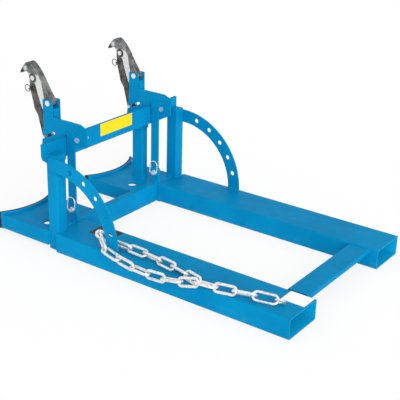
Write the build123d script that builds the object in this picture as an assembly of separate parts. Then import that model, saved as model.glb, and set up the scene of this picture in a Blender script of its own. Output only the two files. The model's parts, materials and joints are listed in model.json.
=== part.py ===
from build123d import *
import math
import os

# Two-drum lifting attachment for a fork truck. +X runs back towards the truck, +Y to the right,
# +Z up. The origin is the middle of the front cross member's underside, on the floor.

# Fork frame
tube_length = 1228
tube_width = 210
tube_height = 93
tube_wall = 6
tube_corner = 8
tube_spacing = 763
front_member_depth = 40
front_member_height = 98
front_member_wall = 5
fork_stop_length = 20
rear_member_width = 100
rear_member_height = 23
rear_member_wall = 4
rear_member_setback = 40
rear_member_drop = 3
member_corner = 4

# Masts, crossbar and quadrant braces
mast_size = 60
mast_wall = 5
mast_height = 461
mast_inset = 19
crossbar_thickness = 12
crossbar_height = 93
crossbar_bottom = 413
crossbar_overhang = 20
crossbar_corner = 42
brace_thickness = 8
brace_inner_radius = 293
brace_width = 64
brace_tab = 45
brace_corner = 10
brace_hole_diameter = 24
brace_hole_count = 5

# Decks and drum cradles
head_spacing = 610
deck_near_reach = 172.5
deck_far_reach = 147
deck_length = 238
deck_height = 88
deck_thickness = 8
deck_hole_diameter = 44
deck_hole_inset = 66
deck_hole_offset = 99
floor_clearance = 18
drum_radius = 292.5
pad_clearance = 15.5
pad_thickness = 12
pad_half_angle = 36.5
cradle_thickness = 8
cradle_height = 100
cradle_half_angle = 33.5
weld_gap = 0.2
pad_bolt_angles = (-21, -7, 7, 21)
pad_bolt_diameter = 10
pad_bolt_head = 18
pad_bolt_head_length = 6
pad_bolt_recess = 2
pad_nut_size = 17
pad_nut_length = 8
bolt_clearance = 0.5

# Gripper head plates, post and stay
plate_thickness = 6
plate_gap = 42
plate_corner = 4
neck_setback = 74
neck_depth = 58
neck_rise = 146
shoulder_rise = 71
tongue_reach = 120
tongue_drop = 32
tongue_chamfer_length = 40
tongue_chamfer_height = 17
plain_shoulder_cut = 30
plain_tongue_cut = 41
saddle_clearance = 4
toe_drop = 60
leg_setback = 50
leg_drop = 51
leg_length = 70
belly_reach = 16
belly_rise = 60
chin_reach = 10
chin_drop = 40
throat_rise = 14
web_thickness = 6
web_drop = 40
web_rise = 30
post_depth = 66
post_wall = 4
post_lap = 38
stay_width = 45
stay_thickness = 8
stay_inset = 6
stay_lift = 37
stay_lap = 56
lug_height = 82
lug_thickness = 10
head_bolt_diameter = 12
head_bolt_head = 22
head_bolt_head_length = 7
head_bolt_inset = 13
head_bolt_drop = 6

# Locking pin and pull ring
lock_pin_diameter = 16
lock_pin_rise = 59
lock_pin_tip = 5
lock_collar_diameter = 26
lock_collar_length = 4
lock_knob_diameter = 18
lock_knob_length = 12
ring_wire = 5
ring_width = 44
ring_height = 62
ring_corner = 9
ring_lean = 5

# Beak, trigger lever and their pins
beak_side_clearance = 2
pivot_inset = 31
pivot_drop = 15
pivot_diameter = 18
pivot_head = 26
pivot_head_length = 3.5
beak_boss = 36
lever_pin_reach = 96
lever_pin_rise = 99
lever_pin_diameter = 14
lever_pin_head = 22
lever_pin_head_length = 4
beak_cheek = 44
lever_thickness = 18
lever_eye = 40
lever_side_clearance = 0.6
lever_top_clearance = 1.5
guide_inset = 32
guide_drop = 166
guide_diameter = 11
guide_eye = 26
guide_head = 15
guide_head_length = 3
guide_head_clearance = 0.8
slot_clearance = 0.6
slot_mouth = 30
beak_opening = 10
lever_ratio = -2.03
release_ring_wire = 4
release_ring_diameter = 36
release_hole_diameter = 6.4
release_stud_diameter = 12
release_stud_length = 11
release_hole_drop = 54
release_hole_inset = 23
release_hole_edge = 5
beak_back = ((17, 4), (-12, 44), (-46, 94), (-78, 137), (-100, 158), (-123, 169), (-146, 156), (-166, 129),
             (-176, 110))
beak_lip = ((-176, 110), (-155, 116), (-136, 127), (-127, 118))
beak_arm = ((-80, 71), (-70, 36), (-59, 5), (-44, -35), (-34, -40))
flank_step = 2
flank_edge = ((-46, 96), (-31, 18))
channel_front = -190
channel_rear = ((-72, 121), (-66, 99), (-50, 60), (-30, 27), (-14, -22))
lever_front = ((-31, 14), (-31, -10), (-30, -45), (-25, -75), (-14, -115), (-7, -145), (2, -160), (13, -174),
               (20, -200), (27, -224), (37, -262), (44, -298))
lever_rear = ((58, -300), (60, -283), (54, -229), (45, -167), (30, -145), (33, -100), (28, -60), (23, -20),
              (12, 15))
heel_top = (50, -222)
heel_bottom = (52, -288)
fit_clearance = 0.05
face_clearance = 0.3

# Safety chain, snap hook and end ring
chain_wire = 12.5
chain_pitch = 84
chain_width = 21
chain_gap = 0.7
strand_links = 6
fold_inset = 55.5
fold_offset = 10.1
fold_rise = 61.8
fold_heading = (91.7, -57, -48.5)
outer_bow = (0, -0.3, -1)
outer_twist = -5
inner_heading = (59.9, 20.5, -26.7)
inner_bow = (0, 1, -0.19)
inner_twist = 5.3
join_width = 34
join_reach = 566.4
join_inset = -8.8
join_rise = 24.3
join_roll = -17.3
join_spread = 7.4
tail_heading = (1, 0.18, -0.03)
tail_turns = ((11, 0.02), (14, 0.02))
tail_twist = -12
hook_turn = (17, -0.06)
hook_twist = -5.1
hook_wire = 11
hook_length = 92
hook_width = 26
gate_stub = 9
gate_diameter = 9
gate_tongue = 3.6
gate_rivet = 3
end_ring_wire = 9
end_ring_diameter = 38

# Bare label plates
yellow_plate_length = 230
yellow_plate_height = 60
yellow_plate_offset = 10
yellow_plate_margin = 1
white_plate_length = 108
white_plate_width = 82
black_plate_length = 129
black_plate_width = 91
black_plate_setback = 102
label_thickness = 1
label_margin = 6

# Places worked out from the sizes above
member_front = -front_member_depth / 2
member_rear = front_member_depth / 2
tube_front = member_rear + fork_stop_length
tube_rear = tube_front + tube_length
tube_inner = tube_spacing / 2 - tube_width / 2
tube_outer = tube_spacing / 2 + tube_width / 2
mast_outer = tube_outer - mast_inset
mast_inner = mast_outer - mast_size
mast_front = tube_front - mast_size
crossbar_rear = mast_front
crossbar_front = crossbar_rear - crossbar_thickness
crossbar_top = crossbar_bottom + crossbar_height
brace_outer_radius = brace_inner_radius + brace_width
pad_inner = drum_radius + pad_clearance
pad_outer = pad_inner + pad_thickness
cradle_inner = pad_outer + weld_gap
cradle_outer = cradle_inner + cradle_thickness
cradle_middle = (floor_clearance + cradle_height) / 2
drum_axis = member_front - deck_length - cradle_outer - weld_gap
plate_inner = plate_gap / 2
plate_outer = plate_inner + plate_thickness
neck_rear = crossbar_front - neck_setback
neck_front = neck_rear - neck_depth
neck_top = crossbar_top + neck_rise
shoulder_top = crossbar_top + shoulder_rise
tongue_rear = crossbar_rear + tongue_reach
tongue_bottom = crossbar_top - tongue_drop
leg_bottom = crossbar_bottom - leg_drop
leg_rear = crossbar_front - leg_setback
stay_front = crossbar_rear + stay_inset
stay_rear = stay_front + stay_width
stay_face = -plate_outer - stay_thickness
lock_x = (stay_front + stay_rear) / 2
lock_z = front_member_height + lock_pin_rise
head_bolt_x = stay_rear + head_bolt_inset
head_bolt_z = crossbar_top - head_bolt_drop
pivot = (neck_front + pivot_inset, neck_top - pivot_drop)
lever_pin = (pivot[0] - lever_pin_reach, pivot[1] + lever_pin_rise)
guide = (pivot[0] - guide_inset, pivot[1] - guide_drop)
beak_half = plate_inner - beak_side_clearance
lever_slot = lever_thickness / 2 + lever_side_clearance

nodes = {}


def block(x_low, x_high, y_low, y_high, z_low, z_high):
    centre = Pos((x_low + x_high) / 2, (y_low + y_high) / 2, (z_low + z_high) / 2)
    return centre * Box(x_high - x_low, y_high - y_low, z_high - z_low)


def tube_section(width, height, wall, corner):
    inner_corner = max(corner - wall, 1)
    inner = RectangleRounded(width - 2 * wall, height - 2 * wall, inner_corner)
    return RectangleRounded(width, height, corner) - inner


def side_plate(sketch, y_low, y_high):
    # A sketch drawn in X and Z, given its thickness across the machine
    return Pos(0, y_high, 0) * extrude(Plane.XZ * sketch, y_high - y_low)


def cross_pin(x, z, diameter, y_low, y_high):
    middle = Pos(x, (y_low + y_high) / 2, z)
    return middle * Rot(90, 0, 0) * Cylinder(diameter / 2, y_high - y_low)


def hex_head(x, z, size, y_low, y_high):
    head = extrude(Plane.XZ * RegularPolygon(size / 2, 6, major_radius=False), y_high - y_low)
    return Pos(x, y_high, z) * head


def outline(points):
    return make_face(Polyline(*points, close=True))


def from_point(origin, offsets):
    return [(origin[0] + dx, origin[1] + dz) for dx, dz in offsets]


def turned(point, centre, degrees):
    # Turn a point of the XZ plane about the +Y direction
    angle = math.radians(degrees)
    dx = point[0] - centre[0]
    dz = point[1] - centre[1]
    x = centre[0] + dx * math.cos(angle) + dz * math.sin(angle)
    z = centre[1] - dx * math.sin(angle) + dz * math.cos(angle)
    return (x, z)


def wire_arc(radius, wire, start, sweep):
    # A bent round bar in the XY plane, from the start angle through the sweep
    bar = revolve(Plane.XZ * Pos(radius, 0) * Circle(wire / 2), Axis.Z, sweep)
    return Rot(0, 0, start) * bar


def wire_run(x_low, x_high, y, wire):
    return Pos((x_low + x_high) / 2, y, 0) * Rot(0, 90, 0) * Cylinder(wire / 2, x_high - x_low)


def fork_frame():
    section = tube_section(tube_width, tube_height, tube_wall, tube_corner)
    tube = extrude(Plane.YZ * section, tube_length)
    member = tube_section(front_member_depth, front_member_height, front_member_wall, member_corner)
    cross = Pos(0, mast_inner, front_member_height / 2) * extrude(Plane.XZ * member, 2 * mast_inner)
    flat = tube_section(rear_member_width, rear_member_height, rear_member_wall, member_corner)
    rear_x = tube_rear - rear_member_setback - rear_member_width / 2
    rear_z = tube_height - rear_member_drop - rear_member_height / 2
    nodes["front_cross_member"] = cross
    nodes["rear_cross_member"] = Pos(rear_x, tube_inner, rear_z) * extrude(Plane.XZ * flat, 2 * tube_inner)
    for name, side in (("left", -1), ("right", 1)):
        nodes[name + "_fork_tube"] = Pos(tube_front, side * tube_spacing / 2, tube_height / 2) * tube
        stop_y = sorted((side * tube_inner, side * mast_inner))
        nodes[name + "_fork_stop"] = block(member_rear, tube_front, *stop_y, 0, tube_height)


def masts_and_crossbar():
    section = tube_section(mast_size, mast_size, mast_wall, member_corner)
    lid = extrude(RectangleRounded(mast_size, mast_size, member_corner), mast_wall)
    mast = extrude(section, mast_height) + Pos(0, 0, mast_height - mast_wall) * lid
    half_length = mast_outer + crossbar_overhang
    bar = Pos(0, crossbar_bottom + crossbar_height / 2) * Rectangle(2 * half_length, crossbar_height)
    bar = fillet(bar.vertices().group_by(Axis.Y)[0], crossbar_corner)
    nodes["upper_crossbar"] = Pos(crossbar_front, 0, 0) * extrude(Plane.YZ * bar, crossbar_thickness)
    for name, side in (("left", -1), ("right", 1)):
        place = Pos(tube_front - mast_size / 2, side * (mast_outer - mast_size / 2), 0)
        nodes[name + "_mast"] = place * mast


def quadrant_braces():
    ring = Circle(brace_outer_radius) - Circle(brace_inner_radius)
    quarter = ring & (Pos(brace_outer_radius / 2, brace_outer_radius / 2) * Rectangle(
        brace_outer_radius, brace_outer_radius))
    tab = Pos(-brace_tab / 2, brace_inner_radius + brace_width / 2) * Rectangle(brace_tab, brace_width)
    quarter += fillet(tab.vertices().group_by(Axis.X)[0], brace_corner)
    step = 90 / (brace_hole_count + 1)
    for index in range(brace_hole_count):
        quarter -= Rot(0, 0, step * (index + 1)) * Pos(brace_inner_radius + brace_width / 2, 0) * Circle(
            brace_hole_diameter / 2)
    arc = Pos(tube_front, tube_height) * quarter
    nodes["left_quadrant_brace"] = side_plate(arc, -mast_outer - brace_thickness, -mast_outer)
    nodes["right_quadrant_brace"] = side_plate(arc, mast_outer, mast_outer + brace_thickness)


def ring_sector(inner, outer, half_angle):
    reach = 2 * outer
    angle = math.radians(half_angle)
    tip = (reach * math.cos(angle), reach * math.sin(angle))
    wedge = outline([(0, 0), (tip[0], -tip[1]), tip])
    sector = extrude((Circle(outer) - Circle(inner)) & wedge, cradle_height - floor_clearance)
    return Pos(drum_axis, 0, floor_clearance) * sector


def radial_bar(angle, low, high, diameter):
    place = Pos(drum_axis, 0, cradle_middle) * Rot(0, 0, angle) * Pos((low + high) / 2, 0, 0)
    return place * Rot(0, 90, 0) * Cylinder(diameter / 2, high - low)


def pad_bolt(angle):
    head_low = pad_inner + pad_bolt_recess
    head_high = head_low + pad_bolt_head_length
    nut_low = cradle_outer
    nut_high = nut_low + pad_nut_length
    nut = extrude(Plane.YZ * RegularPolygon(pad_nut_size / 2, 6, major_radius=False), pad_nut_length)
    place = Pos(drum_axis, 0, cradle_middle) * Rot(0, 0, angle) * Pos(nut_low, 0, 0)
    bolt = radial_bar(angle, head_low, head_high, pad_bolt_head)
    return bolt + radial_bar(angle, head_low, nut_high, pad_bolt_diameter) + place * nut


def decks_and_cradles():
    near, far = -deck_near_reach, deck_far_reach
    under = deck_height - deck_thickness
    drum = Pos(drum_axis, 0, cradle_middle) * Cylinder(cradle_outer + weld_gap, 2 * cradle_height)
    top = block(drum_axis, member_front, near, far, under, deck_height) - drum
    hole_place = Pos(member_front - deck_hole_inset, -deck_hole_offset, deck_height)
    top -= hole_place * Cylinder(deck_hole_diameter / 2, 4 * deck_thickness)
    low_side = block(drum_axis, member_front, near, near + deck_thickness, floor_clearance, under) - drum
    high_side = block(drum_axis, member_front, far - deck_thickness, far, floor_clearance, under) - drum
    back = ring_sector(cradle_inner, cradle_outer, cradle_half_angle)
    pad = ring_sector(pad_inner, pad_outer, pad_half_angle)
    head_seat = pad_inner + pad_bolt_recess + pad_bolt_head_length
    hole_diameter = pad_bolt_diameter + 2 * bolt_clearance
    for angle in pad_bolt_angles:
        shank = radial_bar(angle, pad_inner, cradle_outer + pad_nut_length, hole_diameter)
        back -= shank
        pad -= shank
        pad -= radial_bar(angle, drum_radius - pad_thickness, head_seat, pad_bolt_head + 2 * bolt_clearance)
    bolts = [pad_bolt(angle) for angle in pad_bolt_angles]
    for name, side in (("left", -1), ("right", 1)):
        place = Pos(0, side * head_spacing / 2, 0)
        nodes[name + "_deck_plate"] = place * top
        nodes[name + "_deck_near_side"] = place * low_side
        nodes[name + "_deck_far_side"] = place * high_side
        nodes[name + "_cradle_plate"] = place * back
        nodes[name + "_cradle_pad"] = place * pad
        nodes[name + "_pad_bolts"] = Compound(children=[place * bolt for bolt in bolts])


def guide_place(opening):
    # Where the guide pin stands when the beak has opened by this angle
    hung = turned(lever_pin, pivot, opening)
    return turned(turned(guide, pivot, opening), hung, lever_ratio * opening)


def guide_slot():
    route = [guide_place(beak_opening * part / 4) for part in range(5)]
    dx = route[0][0] - route[1][0]
    dz = route[0][1] - route[1][1]
    stretch = slot_mouth / math.hypot(dx, dz)
    mouth = (route[0][0] + dx * stretch, route[0][1] + dz * stretch)
    return SlotArc(Polyline(mouth, *route), guide_diameter + 2 * slot_clearance)


def head_plate_sketch(shoulder, rear):
    sketch = outline([
        (neck_front, neck_top),
        (neck_rear, neck_top),
        (neck_rear, shoulder),
        (rear - tongue_chamfer_length, shoulder),
        (rear, shoulder - tongue_chamfer_height),
        (rear, tongue_bottom),
        (crossbar_rear + saddle_clearance, tongue_bottom),
        (crossbar_rear + saddle_clearance, crossbar_top + plate_corner),
        (crossbar_front, crossbar_top + plate_corner),
        (crossbar_front, crossbar_top - toe_drop),
        (leg_rear, crossbar_top - toe_drop),
        (leg_rear, leg_bottom),
        (leg_rear - leg_length, leg_bottom),
        (neck_front - belly_reach, leg_bottom + belly_rise),
        (neck_front - chin_reach, crossbar_top - chin_drop),
        (neck_front, crossbar_top + throat_rise),
    ])
    sketch = fillet(sketch.vertices(), plate_corner)
    sketch -= Pos(*pivot) * Circle(pivot_diameter / 2)
    sketch -= Pos(head_bolt_x, head_bolt_z) * Circle(head_bolt_diameter / 2)
    return sketch - guide_slot()


def head_frame(name, place):
    stay_sketch = head_plate_sketch(shoulder_top, tongue_rear)
    plain_sketch = head_plate_sketch(shoulder_top - plain_shoulder_cut, tongue_rear - plain_tongue_cut)
    nodes[name + "_head_stay_plate"] = place * side_plate(stay_sketch, -plate_outer, -plate_inner)
    nodes[name + "_head_plain_plate"] = place * side_plate(plain_sketch, plate_inner, plate_outer)
    web = block(neck_rear - web_thickness, neck_rear, -plate_inner, plate_inner,
                crossbar_top + web_rise, neck_top - web_drop)
    nodes[name + "_neck_web"] = place * web
    post = tube_section(post_depth, plate_gap, post_wall, member_corner)
    post_x = leg_rear - post_depth / 2
    post_length = leg_bottom + post_lap - deck_height
    nodes[name + "_head_post"] = place * Pos(post_x, 0, deck_height) * extrude(post, post_length)
    bolt = cross_pin(head_bolt_x, head_bolt_z, head_bolt_diameter, -plate_outer, plate_outer)
    bolt_end = plate_outer + head_bolt_head_length
    bolt += hex_head(head_bolt_x, head_bolt_z, head_bolt_head, -bolt_end, -plate_outer)
    bolt += hex_head(head_bolt_x, head_bolt_z, head_bolt_head, plate_outer, bolt_end)
    nodes[name + "_head_bolt"] = place * bolt
    pin = cross_pin(*pivot, pivot_diameter, -plate_outer, plate_outer)
    pin += cross_pin(*pivot, pivot_head, -plate_outer - pivot_head_length, -plate_outer)
    pin += cross_pin(*pivot, pivot_head, plate_outer, plate_outer + pivot_head_length)
    nodes[name + "_beak_pivot_pin"] = place * pin


def stay_and_lock(name, place):
    hole = lock_pin_diameter + 2 * fit_clearance
    stay_bottom = front_member_height + stay_lift
    stay = block(stay_front, stay_rear, stay_face, -plate_outer, stay_bottom, tongue_bottom + stay_lap)
    lug_top = front_member_height + lug_height
    lug_face = -plate_outer + lug_thickness
    lug = block(stay_front, stay_rear, -plate_outer, lug_face, front_member_height, lug_top)
    bore = cross_pin(lock_x, lock_z, hole, stay_face - lug_thickness, lug_face + lug_thickness)
    nodes[name + "_stay_bar"] = place * (stay - bore)
    nodes[name + "_stay_lug"] = place * (lug - bore)
    collar_high = stay_face - face_clearance
    collar_low = collar_high - lock_collar_length
    knob_low = collar_low - lock_knob_length
    pin = cross_pin(lock_x, lock_z, lock_pin_diameter, collar_low, lug_face + lock_pin_tip)
    pin += cross_pin(lock_x, lock_z, lock_collar_diameter, collar_low, collar_high)
    pin += cross_pin(lock_x, lock_z, lock_knob_diameter, knob_low, collar_low)
    hinge = Pos(lock_x, (knob_low + collar_low) / 2, lock_z)
    pin -= hinge * Rot(0, 90, 0) * Cylinder(ring_wire / 2 + fit_clearance, 2 * lock_knob_diameter)
    nodes[name + "_locking_pin"] = place * pin
    half = ring_width / 2
    bail = wire_run(ring_corner - half, half - ring_corner, 0, ring_wire)
    bail += Pos(half - ring_corner, ring_corner) * wire_arc(ring_corner, ring_wire, -90, 90)
    bail += Pos(ring_corner - half, ring_corner) * wire_arc(ring_corner, ring_wire, 180, 90)
    side_run = wire_run(ring_corner, ring_height - half, 0, ring_wire)
    bail += Pos(half, 0) * Rot(0, 0, 90) * side_run
    bail += Pos(-half, 0) * Rot(0, 0, 90) * side_run
    bail += Pos(0, ring_height - half) * wire_arc(half, ring_wire, 0, 180)
    nodes[name + "_pull_ring"] = place * hinge * Rot(90 - ring_lean, 0, 0) * bail


def beak_sketch():
    cheek_front = -lever_pin_reach - beak_cheek / 2
    front = [*beak_lip, (cheek_front, lever_pin_rise), *beak_arm, (0, -beak_boss / 2), beak_back[0]]
    edge = Spline(*from_point(pivot, beak_back)) + Polyline(*from_point(pivot, front))
    sketch = make_face(edge) + Pos(*pivot) * Circle(beak_boss / 2) + Pos(*lever_pin) * Circle(beak_cheek / 2)
    sketch -= Pos(*pivot) * Circle(pivot_diameter / 2 + fit_clearance)
    return sketch - Pos(*lever_pin) * Circle(lever_pin_diameter / 2)


def lever_channel():
    # Room inside the beak for the lever over its whole swing
    roof = lever_pin_rise + lever_eye / 2 + lever_top_clearance
    floor = -guide_drop / 2
    points = [(channel_front, floor), (channel_front, roof), *channel_rear, (channel_rear[-1][0], floor)]
    return side_plate(outline(from_point(pivot, points)), -lever_slot, lever_slot)


def flank_recess():
    # Shallow step on each flank of the beak, from the ground strip back to the edge
    low, high = flank_edge[-1][1], flank_edge[0][1]
    area = outline(from_point(pivot, [*flank_edge, (beak_boss, low), (beak_boss, high)]))
    near = side_plate(area, -beak_half, flank_step - beak_half)
    return near + side_plate(area, beak_half - flank_step, beak_half)


def lever_sketch():
    heel_x = guide[0] - lever_pin[0]
    heel_z = guide[1] - lever_pin[1]
    heel = [heel_top, (heel_x, heel_z + guide_eye / 2), (heel_x, heel_z - guide_eye / 2), heel_bottom]
    sketch = outline(from_point(lever_pin, lever_front + lever_rear))
    sketch += Pos(*lever_pin) * Circle(lever_eye / 2)
    sketch += outline(from_point(lever_pin, heel)) + Pos(*guide) * Circle(guide_eye / 2)
    sketch -= Pos(*lever_pin) * Circle(lever_pin_diameter / 2 + fit_clearance)
    return sketch - Pos(*guide) * Circle(guide_diameter / 2)


def release_hole():
    # Middle of the upright hole in the stud on the lever's flank
    y = -lever_thickness / 2 - release_stud_length + release_hole_edge
    return (lever_pin[0] - release_hole_inset, y, lever_pin[1] - release_hole_drop)


def gripper(name, place):
    beak = side_plate(beak_sketch(), -beak_half, beak_half) - lever_channel() - flank_recess()
    nodes[name + "_beak"] = place * beak
    pin = cross_pin(*lever_pin, lever_pin_diameter, -beak_half, beak_half)
    pin += cross_pin(*lever_pin, lever_pin_head, -beak_half - lever_pin_head_length, -beak_half)
    pin += cross_pin(*lever_pin, lever_pin_head, beak_half, beak_half + lever_pin_head_length)
    nodes[name + "_lever_pin"] = place * pin
    half = lever_thickness / 2
    hole = release_hole()
    stud = cross_pin(hole[0], hole[2], release_stud_diameter, -half - release_stud_length, -half)
    bore = Pos(*hole) * Cylinder(release_hole_diameter / 2, 2 * release_stud_diameter)
    nodes[name + "_trigger_lever"] = place * (side_plate(lever_sketch(), -half, half) + stud - bore)
    head_low = plate_outer + guide_head_clearance
    head_high = head_low + guide_head_length
    pin = cross_pin(*guide, guide_diameter, -head_high, head_high)
    pin += cross_pin(*guide, guide_head, -head_high, -head_low)
    pin += cross_pin(*guide, guide_head, head_low, head_high)
    nodes[name + "_guide_pin"] = place * pin
    radius = (release_ring_diameter - release_ring_wire) / 2
    bulge = (radius - math.sqrt(radius ** 2 - (release_stud_diameter / 2) ** 2)) / 2
    loop = Pos(bulge - radius, 0, 0) * Rot(90, 0, 0) * wire_arc(radius, release_ring_wire, 0, 360)
    nodes[name + "_release_ring"] = place * Pos(*hole) * loop


def loop_body(length, width, wire):
    # A closed oval of round bar in the XY plane; length and width are its inside sizes
    bend = (width + wire) / 2
    half = (length - width) / 2
    body = wire_run(-half, half, bend, wire) + wire_run(-half, half, -bend, wire)
    body += Pos(half, 0, 0) * wire_arc(bend, wire, -90, 180)
    return body + Pos(-half, 0, 0) * wire_arc(bend, wire, 90, 180)


def laid(body, crown, heading, across, length):
    # Put a loop's middle half its length along the heading, with its width in the across direction
    middle = crown + heading * (length / 2)
    return Plane(origin=middle, x_dir=heading, z_dir=heading.cross(across)) * body


def yawed(degrees, climb):
    # A heading turned this far from +X towards +Y, rising by the climb for each unit of length
    angle = math.radians(degrees)
    return Vector(math.cos(angle), math.sin(angle), climb).normalized()


def sag_headings(start, end, count, bow):
    # Headings of equal links on an arc from start to end that bulges towards bow
    step = chain_pitch - chain_gap
    chord = end - start
    along = chord.normalized()
    bulge = (bow - along * bow.dot(along)).normalized()
    low = 0.0001
    high = 2 * math.pi / count
    for _ in range(60):
        turn = (low + high) / 2
        reach = step * math.sin(count * turn / 2) / math.sin(turn / 2)
        if reach > chord.length:
            low = turn
        else:
            high = turn
    angles = [low * ((count - 1) / 2 - index) for index in range(count)]
    return [along * math.cos(angle) + bulge * math.sin(angle) for angle in angles]


def quarter_turn(across, heading, twist):
    # Width direction of a loop hung in another: a quarter turn and the twist from it
    return heading.cross(across).normalized().rotate(Axis((0, 0, 0), heading), twist)


def chain_run(links, link, crown, across, headings, twist):
    # Hook each link into the crown of the one before it
    length = chain_pitch + chain_wire
    for heading in headings:
        across = quarter_turn(across, heading, twist)
        start = crown - heading * (chain_wire + chain_gap)
        links.append(laid(link, start, heading, across, length))
        crown = start + heading * length
    return crown, across


def safety_chain():
    link = loop_body(chain_pitch, chain_width, chain_wire)
    length = chain_pitch + chain_wire
    step = chain_pitch - chain_gap
    fold_x = tube_front + brace_inner_radius - fold_inset
    fold = Vector(fold_x, fold_offset - mast_outer, tube_height + fold_rise)
    round_foot = Vector(*fold_heading).normalized()
    up = Vector(0, 0, 1)
    edge = (up - round_foot * up.dot(round_foot)).normalized()
    links = [laid(link, fold, round_foot, edge, length)]
    join = Vector(fold.X + join_reach, join_inset - tube_outer, tube_height + join_rise)
    tail = Vector(*tail_heading).normalized()
    level = up.cross(tail).normalized()
    join_across = level.rotate(Axis((0, 0, 0), tail), join_roll)
    outer_end = join - join_across * join_spread
    inner_end = join + join_across * join_spread
    crown = fold + round_foot * length
    outer = sag_headings(crown, outer_end, strand_links, Vector(*outer_bow))
    chain_run(links, link, crown, edge, outer, outer_twist)
    first = Vector(*inner_heading).normalized()
    inner = [first] + sag_headings(fold + first * step, inner_end, strand_links, Vector(*inner_bow))
    chain_run(links, link, fold, edge, inner, inner_twist)
    room = math.sqrt((join_width / 2 - chain_wire / 2) ** 2 - join_spread ** 2)
    start = join - tail * ((join_width + chain_wire) / 2 - room + chain_gap)
    links.append(laid(loop_body(chain_pitch, join_width, chain_wire), start, tail, join_across, length))
    end = start + tail * length
    run = [yawed(*turn) for turn in tail_turns]
    end, across = chain_run(links, link, end, join_across, run, tail_twist)
    towards = yawed(*hook_turn)
    across = quarter_turn(across, towards, hook_twist)
    end = snap_hook(end, towards, across)
    ring = wire_arc(end_ring_diameter / 2, end_ring_wire, 0, 360)
    start = end - towards * ((hook_wire + end_ring_wire) / 2 + chain_gap)
    links.append(laid(ring, start, towards, quarter_turn(across, towards, 0), end_ring_diameter))
    nodes["safety_chain"] = Compound(children=links)


def snap_hook(crown, heading, across):
    start = crown - heading * ((chain_wire + hook_wire) / 2 + chain_gap)
    length = hook_length + hook_wire
    bend = (hook_width + hook_wire) / 2
    half = (hook_length - hook_width) / 2
    hinge = gate_stub - half + gate_diameter / 2 + chain_gap
    nose = half - gate_stub - 2 * chain_gap
    body = wire_run(-half, half, -bend, hook_wire)
    body += Pos(half, 0, 0) * wire_arc(bend, hook_wire, -90, 180)
    body += Pos(-half, 0, 0) * wire_arc(bend, hook_wire, 90, 180)
    body += wire_run(-half, gate_stub - half, bend, hook_wire)
    body += wire_run(half - gate_stub, half, bend, hook_wire)
    tongue_half = gate_tongue / 2
    tongue = block(-half, hinge, bend - gate_rivet, bend + gate_rivet, -tongue_half, tongue_half)
    body += tongue + Pos(hinge, bend, 0) * Cylinder(gate_rivet, gate_tongue)
    body += Pos(hinge, bend, 0) * Cylinder(gate_rivet / 2, gate_diameter)
    gate = wire_run(hinge, nose, bend, gate_diameter) + Pos(hinge, bend, 0) * Sphere(gate_diameter / 2)
    slot_half = tongue_half + chain_gap / 2
    slot_end = hinge + gate_rivet + chain_gap
    slot_low = bend - gate_diameter
    slot_high = bend + gate_diameter
    gate -= block(hinge - gate_diameter, slot_end, slot_low, slot_high, -slot_half, slot_half)
    gate -= Pos(hinge, bend, 0) * Cylinder(gate_rivet / 2 + fit_clearance, 2 * gate_diameter)
    nodes["snap_hook"] = laid(body, start, heading, across, length)
    nodes["snap_gate"] = laid(gate, start, heading, across, length)
    return start + heading * length


def label_plates():
    yellow_top = crossbar_top - yellow_plate_margin
    yellow_half = yellow_plate_length / 2
    nodes["yellow_plate"] = block(crossbar_rear, crossbar_rear + label_thickness,
                                  yellow_plate_offset - yellow_half, yellow_plate_offset + yellow_half,
                                  yellow_top - yellow_plate_height, yellow_top)
    top = tube_height + label_thickness
    edge = -tube_inner - tube_corner
    white_rear = tube_rear - label_margin
    nodes["white_plate"] = block(white_rear - white_plate_length, white_rear,
                                 edge - white_plate_width, edge, tube_height, top)
    black_front = tube_front + black_plate_setback
    nodes["black_plate"] = block(black_front, black_front + black_plate_length,
                                 edge - black_plate_width, edge, tube_height, top)


fork_frame()
masts_and_crossbar()
quadrant_braces()
decks_and_cradles()
for head_name, head_side in (("left", -1), ("right", 1)):
    head_place = Pos(0, head_side * head_spacing / 2, 0)
    head_frame(head_name, head_place)
    stay_and_lock(head_name, head_place)
    gripper(head_name, head_place)
safety_chain()
label_plates()

os.makedirs("parts", exist_ok=True)
for node_name, shape in nodes.items():
    export_step(shape, os.path.join("parts", node_name + ".step"))
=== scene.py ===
import json
import math
from types import SimpleNamespace
import bpy
import numpy as np
from mathutils import Matrix, Vector


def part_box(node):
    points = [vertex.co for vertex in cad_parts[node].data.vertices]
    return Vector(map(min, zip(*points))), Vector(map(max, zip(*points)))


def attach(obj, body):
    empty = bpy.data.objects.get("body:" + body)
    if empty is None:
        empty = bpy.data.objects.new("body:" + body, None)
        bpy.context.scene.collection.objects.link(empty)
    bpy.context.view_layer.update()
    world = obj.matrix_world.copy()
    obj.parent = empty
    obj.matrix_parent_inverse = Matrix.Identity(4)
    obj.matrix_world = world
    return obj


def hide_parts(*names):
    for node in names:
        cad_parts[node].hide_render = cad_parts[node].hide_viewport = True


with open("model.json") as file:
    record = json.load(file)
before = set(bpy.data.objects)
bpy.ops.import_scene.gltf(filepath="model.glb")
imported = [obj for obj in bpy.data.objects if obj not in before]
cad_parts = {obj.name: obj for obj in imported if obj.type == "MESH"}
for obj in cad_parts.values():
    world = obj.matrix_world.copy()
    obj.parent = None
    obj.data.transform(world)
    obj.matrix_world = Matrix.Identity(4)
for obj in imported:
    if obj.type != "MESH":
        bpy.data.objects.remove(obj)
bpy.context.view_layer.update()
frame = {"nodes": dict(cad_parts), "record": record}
print("frame loaded:", len(frame["nodes"]), "nodes")


def faces(node):
    # a node's box as its pair of faces on each axis
    low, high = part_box(node)
    return SimpleNamespace(x=(low[0], high[0]), y=(low[1], high[1]), z=(low[2], high[2]))


def sideFaces(side, *names):
    return [faces(side + "_" + name) for name in names]


def middle(pair):
    return (pair[0] + pair[1]) / 2


def span(pair):
    return pair[1] - pair[0]


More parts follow.
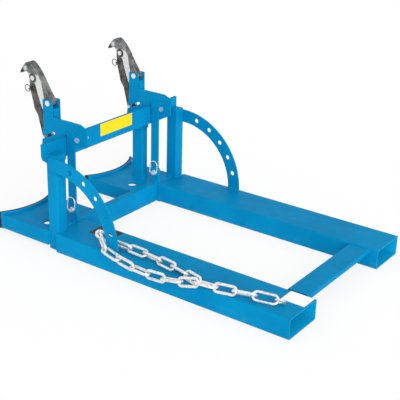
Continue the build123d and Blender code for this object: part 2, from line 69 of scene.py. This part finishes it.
def startMaterial(name):
    mat = bpy.data.materials.new(name)
    mat.use_nodes = True
    tree = mat.node_tree
    return mat, tree, tree.nodes["Principled BSDF"]


def addNode(tree, kind, **values):
    node = tree.nodes.new(kind)
    for key, value in values.items():
        if key in node.inputs:
            node.inputs[key].default_value = value
        else:
            setattr(node, key, value)
    return node


def feed(tree, socket, value):
    # a number or a colour is set on the socket, anything else is linked to it
    if isinstance(value, (int, float)):
        socket.default_value = value
    elif isinstance(value, tuple):
        socket.default_value = (*value, 1)
    else:
        tree.links.new(value, socket)


def combine(tree, operation, *values):
    node = addNode(tree, "ShaderNodeMath", operation=operation)
    for socket, value in zip(node.inputs, values):
        feed(tree, socket, value)
    return node.outputs["Value"]


def product(tree, first, *others):
    for other in others:
        first = combine(tree, "MULTIPLY", first, other)
    return first


def rangeOf(tree, value, low, high, toLow, toHigh):
    node = addNode(tree, "ShaderNodeMapRange")
    node.inputs["From Min"].default_value = low
    node.inputs["From Max"].default_value = high
    node.inputs["To Min"].default_value = toLow
    node.inputs["To Max"].default_value = toHigh
    tree.links.new(value, node.inputs["Value"])
    return node.outputs["Result"]


mixSockets = {"amount": 0, "first": 6, "second": 7, "result": 2}  # where a Mix node takes and gives colours


def mixColour(tree, amount, first, second):
    node = addNode(tree, "ShaderNodeMix", data_type="RGBA")
    for name, value in (("amount", amount), ("first", first), ("second", second)):
        feed(tree, node.inputs[mixSockets[name]], value)
    return node.outputs[mixSockets["result"]]


def objectNoise(tree, scale, detail=3.0, roughness=0.55, stretch=(1, 1, 1)):
    # noise read on Object coordinates, stretched along the piece where asked
    place = addNode(tree, "ShaderNodeTexCoord")
    mapping = addNode(tree, "ShaderNodeMapping", Scale=stretch)
    noise = addNode(tree, "ShaderNodeTexNoise", Scale=scale, Detail=detail, Roughness=roughness)
    tree.links.new(place.outputs["Object"], mapping.inputs["Vector"])
    tree.links.new(mapping.outputs["Vector"], noise.inputs["Vector"])
    return noise.outputs["Fac"]


def noiseBand(tree, band):
    # noise (scale, detail, roughness, stretch) whose values between the two marks spread over the new range
    return rangeOf(tree, objectNoise(tree, *band["noise"]), *band["marks"], *band["to"])


edgeWear = {"samples": 4, "flat": 0.995, "sharp": 0.8}


def edgeMask(tree, radius):
    # 0 on flat faces, rising to 1 as the dot product of the rounded normal and the true one falls
    bevel = addNode(tree, "ShaderNodeBevel", samples=edgeWear["samples"], Radius=radius)
    surface = addNode(tree, "ShaderNodeNewGeometry")
    dot = addNode(tree, "ShaderNodeVectorMath", operation="DOT_PRODUCT")
    for socket, source in zip(dot.inputs, (bevel, surface)):
        tree.links.new(source.outputs["Normal"], socket)
    return rangeOf(tree, dot.outputs["Value"], edgeWear["flat"], edgeWear["sharp"], 0, 1)


def axisOf(tree, output, axis):
    place = addNode(tree, "ShaderNodeTexCoord")
    split = addNode(tree, "ShaderNodeSeparateXYZ")
    tree.links.new(place.outputs[output], split.inputs["Vector"])
    return split.outputs[axis]


def within(tree, value, centre, half):
    # 1 where a value lies closer to the centre than the half width
    offset = combine(tree, "ABSOLUTE", combine(tree, "SUBTRACT", value, centre))
    return combine(tree, "LESS_THAN", offset, half)


def nearAxisY(tree, x, z, inner, outer):
    # 1 within the inner radius of a line along Y, falling to 0 at the outer one
    away = [combine(tree, "SUBTRACT", axisOf(tree, "Object", axis), at) for axis, at in (("X", x), ("Z", z))]
    square = combine(tree, "ADD", *[combine(tree, "POWER", offset, 2) for offset in away])
    return rangeOf(tree, combine(tree, "POWER", square, 0.5), inner, outer, 1, 0)


def finishSurface(tree, shader, colour, look):
    # what every finish ends with: its colour, uneven gloss, constant values and fine relief
    tree.links.new(colour, shader.inputs["Base Color"])
    tree.links.new(noiseBand(tree, look["gloss"]), shader.inputs["Roughness"])
    for name, value in look["constant"].items():
        shader.inputs[name].default_value = value
    relief = look["relief"]
    bump = addNode(tree, "ShaderNodeBump", Strength=relief["strength"], Distance=relief["distance"])
    tree.links.new(objectNoise(tree, *relief["noise"]), bump.inputs["Height"])
    tree.links.new(bump.outputs["Normal"], shader.inputs["Normal"])


# the pocket colours are a paler blue for the fork tubes' insides, painted light against the shade there
bluePaintLook = {"light": (0.001, 0.250, 0.500), "deep": (0.0005, 0.214, 0.445), "chip": (0.22, 0.30, 0.35),
                 "dust": (0.10, 0.29, 0.43), "dustHeight": 0.05, "edgeRadius": 0.003, "pocketSkin": 0.005,
                 "paintedLightPocketPale": (0.002, 0.43, 0.73), "paintedLightPocketDeep": (0.002, 0.39, 0.67),
                 "drift": {"noise": (5.0,), "marks": (0.35, 0.65), "to": (0, 1)},
                 "streak": {"noise": (9.0, 4.0, 0.6, (0.5, 9, 9)), "marks": (0.60, 0.78), "to": (0, 0.22)},
                 "speck": {"noise": (38.0, 5.0, 0.7), "marks": (0.52, 0.75), "to": (0, 0.45)},
                 "flake": {"noise": (120.0, 4.0, 0.65), "marks": (0.60, 0.66), "to": (0, 1)},
                 "gloss": {"noise": (24.0, 4.0), "marks": (0.3, 0.7), "to": (0.34, 0.48)},
                 "relief": {"noise": (260.0, 2.0), "strength": 0.10, "distance": 0.0006},
                 "constant": {"Specular IOR Level": 0.02}}


def insidePockets(tree, skin):
    # 1 on the inner faces of both fork tubes, which lie deeper than the skin
    tube = faces("left_fork_tube")
    across = combine(tree, "ABSOLUTE", axisOf(tree, "Object", "Y"))
    wide = within(tree, across, abs(middle(tube.y)), span(tube.y) / 2 - skin)
    high = within(tree, axisOf(tree, "Object", "Z"), middle(tube.z), span(tube.z) / 2 - skin)
    long = within(tree, axisOf(tree, "Object", "X"), middle(tube.x), span(tube.x) / 2)
    return product(tree, wide, high, long)


def bluePaint():
    # enamel with little gloss: broad tone drift, painted light inside the fork pockets, pale streaks along
    # the tubes, floor dust low down, chipped corners and fine orange peel
    look = bluePaintLook
    mat, tree, shader = startMaterial("bluePaint")
    drift = noiseBand(tree, look["drift"])
    # painted light: the tubes' inner faces take a paler blue than the outside, lifting their shade
    paintedLightPocket = mixColour(tree, drift, look["paintedLightPocketDeep"], look["paintedLightPocketPale"])
    colour = mixColour(tree, drift, look["deep"], look["light"])
    colour = mixColour(tree, insidePockets(tree, look["pocketSkin"]), colour, paintedLightPocket)
    colour = mixColour(tree, noiseBand(tree, look["streak"]), colour, look["light"])
    low = rangeOf(tree, axisOf(tree, "Object", "Z"), look["dustHeight"], 0, 0, 1)
    colour = mixColour(tree, product(tree, low, noiseBand(tree, look["speck"])), colour, look["dust"])
    worn = product(tree, edgeMask(tree, look["edgeRadius"]), noiseBand(tree, look["flake"]))
    colour = mixColour(tree, worn, colour, look["chip"])
    finishSurface(tree, shader, colour, look)
    return mat


# places on the beak are given from its pivot or its tip, forward being towards -X
# the strip colour also gives a painted highlight behind the tip; the darkest colour gives painted shade at
# the lever pin and a dark patch on the tip
jawSteelLook = {"dark": (0.075, 0.080, 0.082), "pale": (0.27, 0.285, 0.28), "rubbed": (0.55, 0.56, 0.56),
                "strip": (0.80, 0.82, 0.81), "pinShadeTipDark": (0.008, 0.008, 0.008), "edgeRadius": 0.004,
                "sideFacing": (0.8, 0.95), "stripTop": 0.123, "stripTopFade": 0.010,
                "stripRear": ((-0.031, 0.018), (-0.046, 0.096)), "stripRearFade": 0.001,
                "pinReach": (0.019, 0.027), "tipRise": 0.110, "tipReach": (0.022, 0.034),
                "paintedHighlightFromTip": (0.035, 0.028), "paintedHighlightReach": (0.003, 0.018),
                "mottle": {"noise": (26.0, 5.0, 0.62), "marks": (0.36, 0.66), "to": (0, 1)},
                "rub": {"noise": (55.0,), "marks": (0.35, 0.6), "to": (0.15, 0.9)},
                "grain": {"noise": (30.0, 5.0, 0.7, (1, 1, 7)), "marks": (0.3, 0.7), "to": (0.72, 1)},
                "darkBreakup": {"noise": (60.0, 4.0, 0.7), "marks": (0.35, 0.6), "to": (0.75, 1)},
                "gloss": {"noise": (70.0, 4.0), "marks": (0.3, 0.7), "to": (0.36, 0.58)},
                "relief": {"noise": (150.0, 4.0, 0.6), "strength": 0.28, "distance": 0.0012},
                "constant": {"Metallic": 0.8}}


def groundStrip(tree, pivotX, pivotZ):
    # 1 below the strip's top and ahead of its rear edge, a straight line through two points
    look = jawSteelLook
    across, upward = axisOf(tree, "Object", "X"), axisOf(tree, "Object", "Z")
    top = pivotZ + look["stripTop"]
    below = rangeOf(tree, upward, top, top - look["stripTopFade"], 0, 1)
    (rearX, rearZ), (topX, topZ) = look["stripRear"]
    slope = (topX - rearX) / (topZ - rearZ)
    edge = pivotX + rearX - slope * (pivotZ + rearZ)
    leaning = combine(tree, "SUBTRACT", across, product(tree, upward, slope))
    ahead = rangeOf(tree, leaning, edge + look["stripRearFade"], edge, 0, 1)
    return product(tree, below, ahead)


def jawSteel():
    # forged steel: dark scale on the back, a ground strip on each flank, painted shade round the lever pin,
    # a dark patch on the tip, and a painted highlight on a spot behind the tip
    look = jawSteelLook
    beak, pin, pivot = sideFaces("left", "beak", "lever_pin", "beak_pivot_pin")
    pivotX, pivotZ = middle(pivot.x), middle(pivot.z)
    tipX, tipZ = beak.x[0], pivotZ + look["tipRise"]
    mat, tree, shader = startMaterial("jawSteel")
    colour = mixColour(tree, noiseBand(tree, look["mottle"]), look["dark"], look["pale"])
    rub = product(tree, edgeMask(tree, look["edgeRadius"]), noiseBand(tree, look["rub"]))
    colour = mixColour(tree, rub, colour, look["rubbed"])
    facing = combine(tree, "ABSOLUTE", axisOf(tree, "Normal", "Y"))
    flank = product(tree, rangeOf(tree, facing, *look["sideFacing"], 0, 1), noiseBand(tree, look["grain"]))
    colour = mixColour(tree, product(tree, flank, groundStrip(tree, pivotX, pivotZ)), colour, look["strip"])
    # painted shade round the lever pin and a dark patch on the tip, broken up by noise
    atPin = nearAxisY(tree, middle(pin.x), middle(pin.z), *look["pinReach"])
    atTip = nearAxisY(tree, tipX, tipZ, *look["tipReach"])
    pinShadeTipDark = product(tree, combine(tree, "MAXIMUM", atPin, atTip), noiseBand(tree, look["darkBreakup"]))
    colour = mixColour(tree, pinShadeTipDark, colour, look["pinShadeTipDark"])
    # painted highlight: a pale spot on the flanks just behind the tip, in the strip's colour
    backX, riseZ = look["paintedHighlightFromTip"]
    paintedHighlight = product(tree, flank, nearAxisY(tree, tipX + backX, tipZ + riseZ, *look["paintedHighlightReach"]))
    colour = mixColour(tree, paintedHighlight, colour, look["strip"])
    finishSurface(tree, shader, colour, look)
    return mat


leverSteelLook = {"dark": (0.045, 0.042, 0.040), "pale": (0.16, 0.155, 0.145), "rust": (0.15, 0.075, 0.035),
                  "rubbed": (0.42, 0.42, 0.41), "rubAmount": 0.5, "edgeRadius": 0.003,
                  "mottle": {"noise": (34.0, 5.0, 0.6), "marks": (0.36, 0.66), "to": (0, 1)},
                  "rustSpread": {"noise": (13.0, 4.0, 0.7), "marks": (0.55, 0.74), "to": (0, 0.55)},
                  "gloss": {"noise": (80.0, 4.0), "marks": (0.3, 0.7), "to": (0.42, 0.64)},
                  "relief": {"noise": (190.0, 4.0, 0.6), "strength": 0.35, "distance": 0.001},
                  "constant": {"Metallic": 0.7}}


def leverSteel():
    # darker cast steel with a breath of rust in patches and rubbed edges
    look = leverSteelLook
    mat, tree, shader = startMaterial("leverSteel")
    colour = mixColour(tree, noiseBand(tree, look["mottle"]), look["dark"], look["pale"])
    colour = mixColour(tree, noiseBand(tree, look["rustSpread"]), colour, look["rust"])
    rub = product(tree, edgeMask(tree, look["edgeRadius"]), look["rubAmount"])
    colour = mixColour(tree, rub, colour, look["rubbed"])
    finishSurface(tree, shader, colour, look)
    return mat


zincLook = {"cool": (0.81, 0.83, 0.86), "warm": (0.83, 0.79, 0.74), "dull": (0.24, 0.24, 0.25),
            "tint": {"noise": (30.0,), "marks": (0.4, 0.6), "to": (0, 1)},
            "spot": {"noise": (85.0, 5.0, 0.7), "marks": (0.50, 0.72), "to": (0, 0.8)},
            "gloss": {"noise": (60.0, 4.0), "marks": (0.3, 0.7), "to": (0.24, 0.42)},
            "relief": {"noise": (300.0,), "strength": 0.08, "distance": 0.0004},
            "constant": {"Metallic": 0.7}}


def zincPlate():
    # bright zinc: faint warm and cool passivation tints, dull spots
    look = zincLook
    mat, tree, shader = startMaterial("zincPlate")
    colour = mixColour(tree, noiseBand(tree, look["tint"]), look["cool"], look["warm"])
    colour = mixColour(tree, noiseBand(tree, look["spot"]), colour, look["dull"])
    finishSurface(tree, shader, colour, look)
    return mat


rubberLook = {"black": (0.010, 0.010, 0.011), "bloom": (0.045, 0.045, 0.047),
              "bloomSpread": {"noise": (16.0, 5.0, 0.65), "marks": (0.42, 0.72), "to": (0, 1)},
              "gloss": {"noise": (45.0, 4.0, 0.6, (1, 1, 14)), "marks": (0.3, 0.7), "to": (0.58, 0.82)},
              "relief": {"noise": (520.0,), "strength": 0.30, "distance": 0.0006},
              "constant": {}}


def blackRubber():
    # moulded rubber: grey bloom, fine grain, scuffs running round the drum
    look = rubberLook
    mat, tree, shader = startMaterial("blackRubber")
    colour = mixColour(tree, noiseBand(tree, look["bloomSpread"]), look["black"], look["bloom"])
    finishSurface(tree, shader, colour, look)
    return mat


plateTones = {"yellow_plate": ("yellowPlate", (0.96, 0.66, 0.002), (0.82, 0.50, 0.006)),
              "white_plate": ("whitePlate", (0.96, 0.965, 0.97), (0.84, 0.85, 0.86)),
              "black_plate": ("blackPlate", (0.012, 0.012, 0.013), (0.055, 0.05, 0.048))}
plateLook = {"soil": {"noise": (22.0, 5.0, 0.7), "marks": (0.45, 0.78), "to": (0, 0.8)},
             "gloss": {"noise": (70.0, 4.0), "marks": (0.3, 0.7), "to": (0.34, 0.52)},
             "relief": {"noise": (340.0, 2.0), "strength": 0.06, "distance": 0.0003},
             "constant": {"Specular IOR Level": 0.2}}


def barePlate(name, clean, soiled):
    # bare plate: handling marks and a slight satin unevenness
    mat, tree, shader = startMaterial(name)
    colour = mixColour(tree, noiseBand(tree, plateLook["soil"]), clean, soiled)
    finishSurface(tree, shader, colour, plateLook)
    return mat


finishes = {"blue_paint": bluePaint(), "jaw_steel": jawSteel(), "lever_steel": leverSteel(),
            "zinc": zincPlate(), "rubber": blackRubber()}
finishes.update({slot: barePlate(*tones) for slot, tones in plateTones.items()})
for row in frame["record"]["subparts"]:
    frame["nodes"][row["node"]].material_slots[0].material = finishes[row["material_slot"]]
print("finishes:", ", ".join(sorted(finishes)))


def gridQuads(index):
    # the four corners of each cell of a grid of point numbers
    corners = [index[:-1, :-1], index[1:, :-1], index[1:, 1:], index[:-1, 1:]]
    return np.stack(corners, axis=-1).reshape(-1, 4)


def meshPiece(name, points, polygons, finish):
    mesh = bpy.data.meshes.new(name)
    mesh.from_pydata(points.reshape(-1, 3).tolist(), [], polygons)
    mesh.polygons.foreach_set("use_smooth", np.ones(len(mesh.polygons), bool))
    mesh.materials.append(finish)
    piece = bpy.data.objects.new(name, mesh)
    bpy.context.collection.objects.link(piece)
    return piece


# each wander is a wave of the bead's size: its share, its rate along the joint and its start
weldBead = {"frameLeg": 0.0052, "headLeg": 0.0042, "sunk": 0.0003, "crown": 0.21, "ripple": 0.0036,
            "relief": 0.05, "lag": 0.45, "wander": ((0.07, 61, 1.3), (0.05, 23, 0.4)),
            "endRun": 0.004, "endShare": 0.02, "endGap": 0.004, "roundGap": 0.012,
            "across": 7, "stepsPerRipple": 5, "fewestSteps": 8}
weldRuns = {"braceDepth": 0.064, "toeDrop": 0.060, "stayLap": 0.050}
toX, toY, toZ = np.eye(3)


def weldSurface(start, end, faceA, faceB, leg):
    # fillet bead: u runs along the joint, v from one face round to the other; the crown bulges by a sine
    # of v, crescent ripples follow a cosine of u that lags towards the middle, and both ends taper down
    bead = weldBead
    length = np.linalg.norm(end - start)
    along = max(bead["fewestSteps"], int(length / bead["ripple"] * bead["stepsPerRipple"]))
    u, v = np.meshgrid(np.linspace(0, length, along), np.linspace(0, 1, bead["across"]), indexing="ij")
    arch = np.sin(np.pi * v)
    wave = np.cos(2 * np.pi * (u / bead["ripple"] - bead["lag"] * arch))
    swell = arch * (bead["crown"] + bead["relief"] * wave)
    wander = 1 + sum(share * np.sin(u * rate + shift) for share, rate, shift in bead["wander"])
    taper = np.sqrt(np.clip(np.minimum(u, length - u) / bead["endRun"], bead["endShare"], 1))
    reach = leg * taper * wander
    sideA = (1 - v + swell) * reach - bead["sunk"]
    sideB = (v + swell) * reach - bead["sunk"]
    run = start + (end - start) * (u / length)[..., None]
    points = run + sideA[..., None] * faceA + sideB[..., None] * faceB
    quads = gridQuads(np.arange(u.size).reshape(u.shape))
    if np.dot(np.cross(end - start, faceB - faceA), faceA + faceB) < 0:
        quads = quads[:, ::-1]
    return points.reshape(-1, 3), quads


def jointLine(x, y, z, faceA, faceB, gap=weldBead["endGap"]):
    # runs along the axis that is given as a pair, short of both ends by the gap, between two faces' normals
    start, end = np.array([np.broadcast_to(value, 2) for value in (x, y, z)]).T
    cut = gap * (end - start) / np.linalg.norm(end - start)
    return start + cut, end - cut, faceA, faceB


def frameJoints(side):
    # seams of the mast, the brace, the crossbar and both cross members on one side
    mast, tube, brace = sideFaces(side, "mast", "fork_tube", "quadrant_brace")
    bar, front, rear = faces("upper_crossbar"), faces("front_cross_member"), faces("rear_cross_member")
    order, out = (1, -toY) if side == "left" else (-1, toY)
    outer, inner = mast.y[::order]
    skin, tubeSide = brace.y[::order][0], rear.y[::order][0]
    foot = (brace.x[1] - weldRuns["braceDepth"], brace.x[1])
    tab = (brace.z[1] - weldRuns["braceDepth"], brace.z[1])
    lap, seat, rounded = (brace.x[0], mast.x[1]), (bar.z[0], mast.z[1]), weldBead["roundGap"]
    return [jointLine(mast.x[1], mast.y, tube.z[1], toX, toZ),
            jointLine(foot, outer, brace.z[0], -out, toZ),
            jointLine(foot, skin, brace.z[0], out, toZ),
            jointLine(brace.x[0], outer, tab, -toX, out, rounded),
            jointLine(lap, outer, tab[1], toZ, out, rounded),
            jointLine(lap, outer, tab[0], -toZ, out, rounded),
            jointLine(bar.x[1], mast.y, mast.z[1], toZ, toX),
            jointLine(bar.x[1], outer, seat, out, toX),
            jointLine(bar.x[1], inner, seat, -out, toX),
            jointLine(bar.x[1], mast.y, bar.z[0], -toX, -toZ),
            jointLine(front.x, inner, front.z[1], -out, toZ),
            jointLine(front.x[1], inner, front.z, -out, toX),
            jointLine(rear.x, tubeSide, rear.z[1], -out, toZ),
            jointLine(rear.x[0], tubeSide, rear.z, -out, -toX),
            jointLine(rear.x[1], tubeSide, rear.z, -out, toX)]


def headJoints(side):
    # seams of one head's plates, post, neck web, stay and lug, and of the deck under it
    near, far, post, web = sideFaces(side, "head_stay_plate", "head_plain_plate", "head_post", "neck_web")
    stay, lug, deck = sideFaces(side, "stay_bar", "stay_lug", "deck_plate")
    bar, front = faces("upper_crossbar"), faces("front_cross_member")
    toe = (bar.z[1] - weldRuns["toeDrop"], bar.z[1])
    lap = (stay.z[1] - weldRuns["stayLap"], stay.z[1])
    sole = (lug.x[0], front.x[1])
    seam = np.clip(deck.y, faces("left_mast").y[0], faces("right_mast").y[1])
    return [jointLine(bar.x[0], near.y[0], toe, -toY, -toX),
            jointLine(bar.x[0], far.y[1], toe, toY, -toX),
            jointLine(post.x, post.y[0], near.z[0], -toY, -toZ),
            jointLine(post.x, post.y[1], far.z[0], toY, -toZ),
            jointLine(post.x[0], post.y, deck.z[1], -toX, toZ),
            jointLine(post.x[1], post.y, deck.z[1], toX, toZ),
            jointLine(post.x, post.y[0], deck.z[1], -toY, toZ),
            jointLine(post.x, post.y[1], deck.z[1], toY, toZ),
            jointLine(web.x[1], web.y[0], web.z, toX, toY),
            jointLine(web.x[1], web.y[1], web.z, toX, -toY),
            jointLine(stay.x[0], stay.y[1], lap, -toX, -toY),
            jointLine(stay.x[1], stay.y[1], lap, toX, -toY),
            jointLine(stay.x, stay.y[1], stay.z[1], toZ, -toY),
            jointLine(sole, lug.y[0], lug.z[0], -toY, toZ),
            jointLine(sole, lug.y[1], lug.z[0], toY, toZ),
            jointLine(front.x[0], seam, deck.z[1], -toX, toZ)]


def deckCorner():
    # the left deck stands out past its mast, and this bead closes the corner between them
    mast, flank, deck = sideFaces("left", "mast", "deck_near_side", "deck_plate")
    return jointLine(mast.x[0], mast.y[0], (flank.z[0], deck.z[1]), toX, -toY, 0)


def addWelds():
    sides = ("left", "right")
    lines = [(line, weldBead["frameLeg"]) for side in sides for line in frameJoints(side)]
    lines.append((deckCorner(), weldBead["frameLeg"]))
    lines += [(line, weldBead["headLeg"]) for side in sides for line in headJoints(side)]
    allPoints, allQuads, count = [], [], 0
    for line, leg in lines:
        points, quads = weldSurface(*line, leg)
        allPoints.append(points)
        allQuads.append(quads + count)
        count += len(points)
    polygons = np.concatenate(allQuads).tolist()
    welds = meshPiece("frameWelds", np.concatenate(allPoints), polygons, finishes["blue_paint"])
    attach(welds, "frame")
    return len(lines)


print("weld beads:", addWelds())


# metres, and degrees about the drum's axis; dimple holds the radii of its bottom and of its rim
cradlePad = {"inner": 0.308, "outer": 0.320, "halfAngle": 36.5, "corner": 0.0025,
             "boltAngles": (-21, -7, 7, 21), "dimple": (0.0100, 0.0128), "dimpleDepth": 0.005,
             "dimpleFacing": (0.95, 1), "step": 0.0016, "cornerSteps": 5}


def padSection(halfDepth, halfHeight):
    # rounded rectangle walked once round: points of its core, and the outward normal at each
    pad = cradlePad
    depth, height = halfDepth - pad["corner"], halfHeight - pad["corner"]
    corners = np.array([(-depth, -height), (-depth, height), (depth, height), (depth, -height)])
    core, turn = [], []
    for k, (here, there) in enumerate(zip(corners, np.roll(corners, -1, axis=0))):
        count = int(np.linalg.norm(there - here) / pad["step"])
        facing = np.pi - k * np.pi / 2
        core += [np.linspace(here, there, count, endpoint=False), np.tile(there, (pad["cornerSteps"], 1))]
        turn += [np.full(count, facing), facing - np.linspace(0, np.pi / 2, pad["cornerSteps"])]
    turn = np.concatenate(turn)
    return np.concatenate(core), np.stack([np.cos(turn), np.sin(turn)], axis=-1)


def openDimples(reach, angle, height, inward):
    # the inner face steps back round each bolt, by a cubic of the distance that is level at both ends
    bottom, rim = cradlePad["dimple"]
    for bolt in np.radians(cradlePad["boltAngles"]):
        near = np.hypot(reach * (angle - bolt), height)
        fall = np.clip((rim - near) / (rim - bottom), 0, 1)
        reach = reach + inward * cradlePad["dimpleDepth"] * fall * fall * (3 - 2 * fall)
    return reach


def padSurface(box):
    # the section is carried round the drum's axis, and at both ends it draws in by a quarter circle
    pad = cradlePad
    radius = middle((pad["inner"], pad["outer"]))
    half = math.radians(pad["halfAngle"]) * radius
    core, normal = padSection((pad["outer"] - pad["inner"]) / 2, span(box.z) / 2)
    curl = np.linspace(np.pi / 2, 0, pad["cornerSteps"])[:-1]
    straight = np.linspace(pad["corner"] - half, half - pad["corner"], int(2 * half / pad["step"]))
    ends = pad["corner"] * (1 - np.sin(curl)) - half
    inset = pad["corner"] * (1 - np.cos(curl))
    arc = np.concatenate([ends, straight, -ends[::-1]])
    inset = np.concatenate([inset, np.zeros_like(straight), inset[::-1]])
    section = core + (pad["corner"] - inset)[:, None, None] * normal
    angle = np.broadcast_to((arc / radius)[:, None], section.shape[:2])
    height = section[..., 1]
    aside, facing = pad["dimpleFacing"]
    inward = np.clip((-normal[:, 0] - aside) / (facing - aside), 0, 1)
    reach = openDimples(radius + section[..., 0], angle, height, inward)
    x, y = box.x[1] - pad["outer"] + reach * np.cos(angle), middle(box.y) + reach * np.sin(angle)
    return np.stack([x, y, middle(box.z) + height], axis=-1)


def addPad(node):
    points = padSurface(faces(node))
    index = np.arange(points.shape[0] * points.shape[1]).reshape(points.shape[:2])
    closed = np.concatenate([index, index[:, :1]], axis=1)
    caps = [index[0, ::-1].tolist(), index[-1].tolist()]
    piece = meshPiece(node + "Rubber", points, gridQuads(closed.T).tolist() + caps, finishes["rubber"])
    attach(piece, "frame")
    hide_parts(node)
    return len(piece.data.polygons)


print("pad faces:", addPad("left_cradle_pad"), addPad("right_cradle_pad"))


studio = {"floorSize": 40.0, "floorSteps": 5, "floorTone": (0.96, 0.96, 0.96), "floorRoughness": 0.9,
          "glow": 0.80, "skyLight": 0.79,
          "key": {"from": (3.0, -2.5, 1.7), "spread": 40.0, "power": 1.30},
          "fill": {"from": (3.0, -1.5, 0.9), "spread": 35.0, "power": 0.95}}
white = (1, 1, 1, 1)


def seenRays(tree):
    # 1 for rays that show the background straight, in a mirror or through glass
    path = addNode(tree, "ShaderNodeLightPath")
    mirror = combine(tree, "MAXIMUM", path.outputs["Is Glossy Ray"], path.outputs["Is Transmission Ray"])
    return combine(tree, "MAXIMUM", path.outputs["Is Camera Ray"], mirror)


def mixShaders(tree, amount, first, second, surface):
    blend = addNode(tree, "ShaderNodeMixShader")
    for socket, source in zip(blend.inputs, (amount, first.outputs[0], second.outputs[0])):
        tree.links.new(source, socket)
    tree.links.new(blend.outputs["Shader"], surface)


def paleFloor():
    mat, tree, shader = startMaterial("paleFloor")
    shader.inputs["Base Color"].default_value = (*studio["floorTone"], 1)
    shader.inputs["Roughness"].default_value = studio["floorRoughness"]
    glow = addNode(tree, "ShaderNodeEmission", Color=white, Strength=1.0)
    amount = product(tree, seenRays(tree), studio["glow"])
    mixShaders(tree, amount, shader, glow, tree.nodes["Material Output"].inputs["Surface"])
    return mat


def floorSheet():
    # flat grid: x and y run over the square, z is 0
    steps = np.linspace(-studio["floorSize"] / 2, studio["floorSize"] / 2, studio["floorSteps"])
    x, y = np.meshgrid(steps, steps, indexing="ij")
    points = np.stack([x, y, np.zeros_like(x)], axis=-1)
    quads = gridQuads(np.arange(x.size).reshape(x.shape))
    return meshPiece("studioFloor", points, quads.tolist(), paleFloor())


def softSun(name, lamp):
    data = bpy.data.lights.new(name, "SUN")
    data.angle = math.radians(lamp["spread"])
    data.energy = lamp["power"]
    obj = bpy.data.objects.new(name, data)
    obj.location = lamp["from"]
    obj.rotation_euler = (-Vector(lamp["from"])).to_track_quat("-Z", "Y").to_euler()
    bpy.context.collection.objects.link(obj)


def whiteRoom():
    world = bpy.data.worlds.new("whiteRoom")
    world.use_nodes = True
    tree = world.node_tree
    tree.nodes.clear()
    light = addNode(tree, "ShaderNodeBackground", Color=white, Strength=studio["skyLight"])
    seen = addNode(tree, "ShaderNodeBackground", Color=white, Strength=1.0)
    out = addNode(tree, "ShaderNodeOutputWorld")
    mixShaders(tree, seenRays(tree), light, seen, out.inputs["Surface"])
    bpy.context.scene.world = world


floor = floorSheet()
softSun("keyLamp", studio["key"])
softSun("fillLamp", studio["fill"])
whiteRoom()
print("studio set")


# place and clip in metres, angles in degrees, sensor in millimetres, the rest in the photograph's pixels
photoView = {"place": (2.7697, -3.2423, 1.9052), "azimuth": 35.12, "elevation": 22.98, "roll": 1.61,
             "focal": 935.48, "frame": 400, "middleRow": 199.42, "sensor": 36, "clip": 60}


def photoCamera():
    view = photoView
    turn, rise, roll = (math.radians(view[key]) for key in ("azimuth", "elevation", "roll"))
    back = Vector((math.sin(turn) * math.cos(rise), -math.cos(turn) * math.cos(rise), math.sin(rise)))
    right = Vector((math.cos(turn), math.sin(turn), 0))
    up = back.cross(right)
    rolledRight = right * math.cos(roll) + up * math.sin(roll)
    rolledUp = up * math.cos(roll) - right * math.sin(roll)
    data = bpy.data.cameras.new("photoCamera")
    data.sensor_width = view["sensor"]
    data.lens = view["focal"] * view["sensor"] / view["frame"]
    data.shift_y = (view["middleRow"] - view["frame"] / 2) / view["frame"]
    data.clip_end = view["clip"]
    camera = bpy.data.objects.new("photoCamera", data)
    axes = Matrix((rolledRight, rolledUp, back)).transposed().to_4x4()
    camera.matrix_world = Matrix.Translation(view["place"]) @ axes
    bpy.context.collection.objects.link(camera)
    bpy.context.scene.camera = camera


photoCamera()
bpy.context.scene.view_settings.view_transform = "Standard"
print("camera set")
